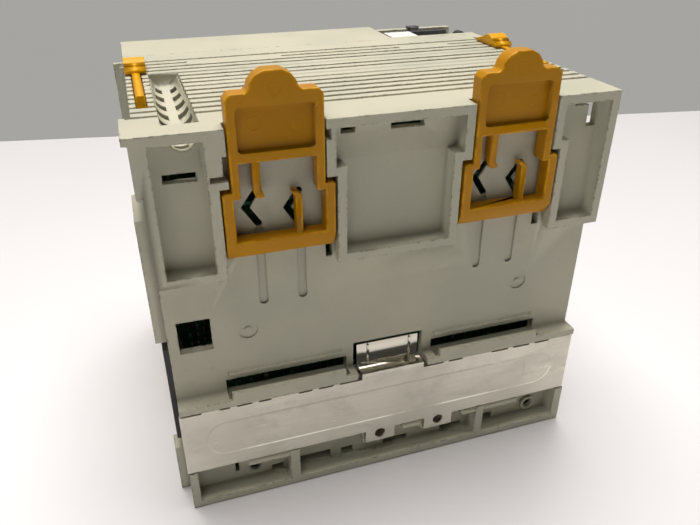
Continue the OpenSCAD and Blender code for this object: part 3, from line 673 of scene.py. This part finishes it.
def finish_of(key):
    """The named finish, made the first time that it is asked for."""
    looks = bpy.context.scene.controller_looks
    makers = {
        "case": lambda: moulded_plastic("moulded_case", looks.housing, looks, warmth=looks.housing_warm),
        # The latches' strong abrasion and bright yellow edge colour paint highlights along their rims
        "amber": lambda: moulded_plastic(
            "amber_latch", looks.latch, looks, 0.30, 0.25, 2.0,
            worn_and_highlit_colour=looks.latch_worn_and_highlit, shine=0.2, marks=latch_marks()
        ),
        # The sliders share that bright yellow edge colour, which paints highlights along their rims
        "slider": lambda: moulded_plastic(
            "amber_slider", looks.slider, looks, 0.30, 0.3, 1.0, worn_and_highlit_colour=looks.latch_worn_and_highlit, shine=0.2
        ),
        "metal": lambda: sheet_metal("bright_sheet", looks.metal, looks),
        "black": lambda: moulded_plastic("black_plastic", looks.black, looks, gloss=0.4, grime_and_shade=0.3, wear_and_highlight=0.3),
        "grey": lambda: moulded_plastic("dark_grey_plastic", looks.grey, looks, 0.45, grime_and_shade=0.3, wear_and_highlight=0.4),
        "white": lambda: moulded_plastic("white_plastic", (0.78, 0.77, 0.74, 1), looks, grime_and_shade=0.4, wear_and_highlight=0.4),
        "blue": lambda: moulded_plastic("switch_blue", (0.02, 0.07, 0.32, 1), looks, grime_and_shade=0.3, wear_and_highlight=0.3),
        "sleeve": lambda: moulded_plastic("capacitor_sleeve", (0.015, 0.02, 0.06, 1), looks, 0.3, 0.2, 0.2),
        "wrap": lambda: moulded_plastic("battery_wrap", (0.30, 0.34, 0.42, 1), looks, 0.3, 0.2, 0.2),
        "board": lambda: printed_board("solder_mask", looks.board),
        "steel": lambda: plated_metal("plated_steel", (0.60, 0.60, 0.60, 1)),
        "gold": lambda: plated_metal("gold_contacts", (0.90, 0.62, 0.22, 1), 0.2),
        "clear": lambda: clear_plastic("smoky_window", (0.55, 0.60, 0.60, 1)),
        "lens": lambda: tinted_lens("lamp_lens", (0.10, 0.45, 0.16, 1)),
    }
    if key not in FINISHES:
        FINISHES[key] = makers[key]()
    return FINISHES[key]


# ---- operators ----


class CONTROLLER_OT_rear_case(bpy.types.Operator):
    """Makes the rear case with rounded edges."""

    bl_idname = "controller.rear_case"
    bl_label = "Rear case"

    def execute(self, context):
        sizes = context.scene.controller_sizes
        piece = softened("rear_case", finish_of("case"), sizes.case_edge, level=SEAT_PAD)
        return {"FINISHED"}


class CONTROLLER_OT_front_cover(bpy.types.Operator):
    """Makes the front cover, its doors and the door catch."""

    bl_idname = "controller.front_cover"
    bl_label = "Front cover and doors"

    def execute(self, context):
        sizes = context.scene.controller_sizes
        for node in ("front_cover", "front_door", "port_door"):
            softened(node, finish_of("case"), sizes.case_edge)
        softened("door_catch", finish_of("grey"), sizes.small_edge)
        finished(["front_door_pin", "port_door_pin"], finish_of("steel"))
        return {"FINISHED"}


class CONTROLLER_OT_latches(bpy.types.Operator):
    """Makes the two rail latches."""

    bl_idname = "controller.latches"
    bl_label = "Rail latches"

    def execute(self, context):
        sizes = context.scene.controller_sizes
        for node in ("din_latch_left", "din_latch_right"):
            softened(node, finish_of("amber"), sizes.latch_edge, 3)
        return {"FINISHED"}


class CONTROLLER_OT_sliders(bpy.types.Operator):
    """Makes the four locking sliders."""

    bl_idname = "controller.sliders"
    bl_label = "Locking sliders"

    def execute(self, context):
        sizes = context.scene.controller_sizes
        for side in ("upper_left", "upper_right", "lower_left", "lower_right"):
            piece = softened("slider_" + side, finish_of("slider"), sizes.slider_edge, 3, 20)
        return {"FINISHED"}


class CONTROLLER_OT_ground_plate(bpy.types.Operator):
    """Makes the bent metal plate."""

    bl_idname = "controller.ground_plate"
    bl_label = "Metal plate"

    def execute(self, context):
        sizes = context.scene.controller_sizes
        piece = softened("ground_plate", finish_of("metal"), sizes.sheet_edge, level=FIELD_RIM)
        return {"FINISHED"}


class CONTROLLER_OT_connectors(bpy.types.Operator):
    """Finishes the sockets, plugs and gasket."""

    bl_idname = "controller.connectors"
    bl_label = "Connectors"

    def execute(self, context):
        edge = context.scene.controller_sizes.small_edge
        softened_all(["bus_connector_left", "bus_connector_right", "side_gasket"], finish_of("black"), edge)
        softened_all(["network_jack", "serial_port"], finish_of("metal"), edge)
        softened_all(["usb_port"], finish_of("white"), edge)
        finished(["cable_post"], finish_of("black"))
        finished(["serial_screwlocks"], finish_of("steel"))
        return {"FINISHED"}


class CONTROLLER_OT_contacts(bpy.types.Operator):
    """Models the springs, pins and tongue inside the sockets."""

    bl_idname = "controller.contacts"
    bl_label = "Contacts"

    def execute(self, context):
        self.jack_springs()
        self.serial_pins()
        self.usb_tongue()
        return {"FINISHED"}

    def jack_springs(self):
        """Eight springs that fold back and down from the jack's roof."""
        low, high = in_module(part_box("network_jack"))
        left = (low.x + high.x) / 2 - 3.75
        roof = low.z + JACK_ROOF
        front = high.y - 3
        first = (left, front - 7, roof - 0.5)
        piece = bar("jack_springs", first, (left + SPRING_WIRE, front, roof - 0.15))
        pick(piece, facing_front)
        extrude(0, 0.2, -0.35)
        extrude(0, -4.6, -3.4)
        bpy.ops.mesh.select_all(action="SELECT")
        bpy.ops.mesh.normals_make_consistent(inside=False)
        array_of(piece, [(SPRING_PITCH * i, 0, 0) for i in range(1, SPRING_COUNT)])
        standing(piece, "network_jack", [finish_of("gold")], 0.04 * MM)

    def serial_pins(self):
        """Nine tapered pins in two rows."""
        low, high = in_module(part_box("serial_port"))
        left = (low.x + high.x) / 2 - 1.7
        foot = (low.z + high.z) / 2 - 5.84
        front = high.y - 1.2
        first = (left, front - 4, foot)
        piece = bar("serial_pins", first, (left + PIN_WIDTH, front - 0.6, foot + PIN_WIDTH))
        pick(piece, facing_front)
        extrude(0, 0.5, 0)
        bpy.ops.transform.resize(value=(PIN_TAPER, 1, PIN_TAPER))
        rows = [(0, 0, PIN_PITCH * i) for i in range(1, 5)]
        rows += [(PIN_ROWS, 0, PIN_PITCH * (i + 0.5)) for i in range(4)]
        array_of(piece, rows)
        standing(piece, "serial_port", [finish_of("gold")], 0.06 * MM)

    def usb_tongue(self):
        """A plastic tongue with four contact strips let into its left face."""
        low, high = in_module(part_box("usb_port"))
        x = (low.x + high.x) / 2
        z = (low.z + high.z) / 2 - 0.8
        front = high.y - 1
        piece = bar("usb_tongue", (x - 0.9, front - 6.8, z - 3.4), (x + 0.9, front, z + 3.4))
        for height in sum(USB_STRIPS, ()):
            bpy.ops.mesh.select_all(action="SELECT")
            bpy.ops.mesh.bisect(plane_co=at(0, 0, z + height), plane_no=(0, 0, 1))
        spans = [(at(0, 0, z + a).z, at(0, 0, z + b).z) for a, b in USB_STRIPS]
        piece.data.materials.append(finish_of("black"))
        pick(piece, lambda centre, normal: normal.x < -0.9 and any(a < centre.z < b for a, b in spans))
        refinished(piece, finish_of("gold"), -0.15)
        bpy.ops.object.mode_set(mode="OBJECT")
        standing(piece, "usb_port", [], 0.05 * MM)


class CONTROLLER_OT_boards(bpy.types.Operator):
    """Finishes the boards and what they carry."""

    bl_idname = "controller.boards"
    bl_label = "Boards"

    def execute(self, context):
        self.board_chips()
        finished(["bus_board", "cpu_board", "network_board", "front_board"], finish_of("board"))
        dark = ["board_connectors", "processor", "memory_chips", "pulse_transformer", "digit_display"]
        finished(dark, finish_of("black"))
        finished(["heat_sink"], finish_of("metal"))
        finished(["capacitors"], finish_of("sleeve"))
        finished(["board_screws"], finish_of("steel"))
        return {"FINISHED"}

    def board_chips(self):
        """Small capped chips on the board behind the inspection window."""
        face = (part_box("bus_board")[0].y - CORNER.y) / MM
        piece = bar("board_chips", (5, face - 0.62, 35), (7, face + 0.02, 36.2))
        for x in CHIP_CAPS:
            bpy.ops.mesh.select_all(action="SELECT")
            bpy.ops.mesh.bisect(plane_co=at(x, 0, 0), plane_no=(1, 0, 0))
        piece.data.materials.append(finish_of("grey"))
        left, right = (at(x, 0, 0).x for x in CHIP_CAPS)
        pick(piece, lambda centre, normal: centre.x < left or centre.x > right)
        refinished(piece, finish_of("steel"), 0.06)
        array_of(piece, [(x, 0, z) for x, z in CHIP_PLACES])
        standing(piece, "bus_board", [], 0.05 * MM)


class CONTROLLER_OT_settings(bpy.types.Operator):
    """Finishes what lies behind the doors and the setting dials."""

    bl_idname = "controller.settings"
    bl_label = "Battery, card, switches and dials"

    def execute(self, context):
        edge = context.scene.controller_sizes.small_edge
        softened_all(["battery_holder", "card_slot", "dial_housings"], finish_of("black"), edge)
        finished(["battery"], finish_of("wrap"))
        softened_all(["memory_card", "eject_button"], finish_of("grey"), edge)
        softened_all(["dip_switch"], finish_of("blue"), edge)
        levers = ["dip_lever_%d" % i for i in range(1, 5)]
        softened_all(levers + ["unit_dial", "node_dial"], finish_of("white"), edge)
        finished(["indicator_window"], finish_of("clear"))
        finished(["indicator_leds"], finish_of("lens"))
        return {"FINISHED"}


class CONTROLLER_OT_stage(bpy.types.Operator):
    """Sets up the table, the wall, the lamps and the camera."""

    bl_idname = "controller.stage"
    bl_label = "Stage"

    def execute(self, context):
        settings = context.scene.controller_stage
        table = self.table(settings)
        wall = self.wall(settings)
        self.lights(context, settings)
        self.camera(context, settings)
        return {"FINISHED"}

    def table(self, settings):
        """A table top that is turned a little."""
        table = self.plane("table", TABLE_MIDDLE, TABLE_SIZE)
        bpy.ops.transform.translate(value=(0, -TABLE_SIZE[1] / 2, 0))
        bpy.ops.mesh.extrude_region_move(TRANSFORM_OT_translate={"value": (0, 0, -0.03)})
        bpy.ops.object.mode_set(mode="OBJECT")
        painted(table, table_top("table_top", settings.table))
        turn = Matrix.Rotation(math.radians(TABLE_TURN), 4, "Z")
        table.matrix_world = Matrix.Translation(table.location) @ turn
        return table

    def wall(self, settings):
        """A plain upright wall behind the table."""
        wall = self.plane("wall", WALL_MIDDLE, WALL_SIZE)
        bpy.ops.object.mode_set(mode="OBJECT")
        upright = Matrix.Rotation(math.radians(90), 4, "X")
        wall.matrix_world = Matrix.Translation(wall.location) @ upright
        painted(wall, wall_paint("wall_paint", settings.wall))
        return wall

    def plane(self, name, middle, size):
        """A flat sheet, left open in edit mode with all of it selected."""
        select_nothing()
        bpy.ops.mesh.primitive_plane_add(size=1, location=middle)
        sheet = bpy.context.object
        sheet.name = name
        edit(sheet)
        bpy.ops.mesh.select_all(action="SELECT")
        bpy.ops.transform.resize(value=size)
        return sheet

    def lights(self, context, settings):
        """A little light from all round, the ceiling lamp and the small lamp behind the camera."""
        world = bpy.data.worlds.new("room")
        context.scene.world = world
        world.use_nodes = True
        background = world.node_tree.nodes["Background"]
        background.inputs["Color"].default_value = (1.0, 0.99, 0.88, 1)
        background.inputs["Strength"].default_value = settings.fill
        self.lamp("ceiling_lamp", CEILING_LAMP, settings.lamp, 1.05)
        self.lamp("side_lamp", SIDE_LAMP, settings.side_lamp, 0.35)

    def lamp(self, name, place, power, size):
        """A square lamp that faces the module."""
        light = bpy.data.lights.new(name, "AREA")
        light.energy = power
        light.size = size
        light.color = (1.0, 0.955, 0.925)
        holder = bpy.data.objects.new(name, light)
        bpy.context.scene.collection.objects.link(holder)
        holder.location = place
        holder.rotation_mode = "QUATERNION"
        holder.rotation_quaternion = (at(49, 42, 50) - Vector(place)).to_track_quat("-Z", "Y")

    def camera(self, context, settings):
        """The camera, off the rail side near its left end and looking down at it."""
        lens = bpy.data.cameras.new("camera")
        lens.sensor_width = 36
        lens.lens = settings.lens
        lens.clip_start = 0.005
        camera = bpy.data.objects.new("camera", lens)
        context.scene.collection.objects.link(camera)
        camera.location = at(*CAMERA_PLACE)
        camera.rotation_mode = "QUATERNION"
        camera.rotation_quaternion = Vector(CAMERA_AIM).to_track_quat("-Z", "Y")
        context.scene.camera = camera
        context.scene.view_settings.view_transform = "Standard"


PIECES = (
    CONTROLLER_OT_rear_case,
    CONTROLLER_OT_front_cover,
    CONTROLLER_OT_latches,
    CONTROLLER_OT_sliders,
    CONTROLLER_OT_ground_plate,
    CONTROLLER_OT_connectors,
    CONTROLLER_OT_contacts,
    CONTROLLER_OT_boards,
    CONTROLLER_OT_settings,
    CONTROLLER_OT_stage,
)


class CONTROLLER_PT_panel(bpy.types.Panel):
    """Lists the module's settings and pieces."""

    bl_label = "Controller module"
    bl_idname = "CONTROLLER_PT_panel"
    bl_space_type = "VIEW_3D"
    bl_region_type = "UI"
    bl_category = "Controller"

    def draw(self, context):
        scene = context.scene
        for group in (scene.controller_looks, scene.controller_sizes, scene.controller_stage):
            box = self.layout.box()
            for key in group.__annotations__:
                box.prop(group, key)
        for piece in PIECES:
            self.layout.operator(piece.bl_idname)


GROUPS = {
    "controller_looks": ControllerLooks,
    "controller_sizes": ControllerSizes,
    "controller_stage": ControllerStage,
}


def register():
    for group in GROUPS.values():
        bpy.utils.register_class(group)
    for key, group in GROUPS.items():
        setattr(bpy.types.Scene, key, bpy.props.PointerProperty(type=group))
    for cls in PIECES + (CONTROLLER_PT_panel,):
        bpy.utils.register_class(cls)


def unregister():
    for cls in reversed(PIECES + (CONTROLLER_PT_panel,)):
        bpy.utils.unregister_class(cls)
    for key, group in GROUPS.items():
        delattr(bpy.types.Scene, key)
        bpy.utils.unregister_class(group)


def main():
    register()
    bpy.ops.controller.rear_case()
    bpy.ops.controller.front_cover()
    bpy.ops.controller.latches()
    bpy.ops.controller.sliders()
    bpy.ops.controller.ground_plate()
    bpy.ops.controller.connectors()
    bpy.ops.controller.contacts()
    bpy.ops.controller.boards()
    bpy.ops.controller.settings()
    bpy.ops.controller.stage()


if __name__ == "__main__":
    main()
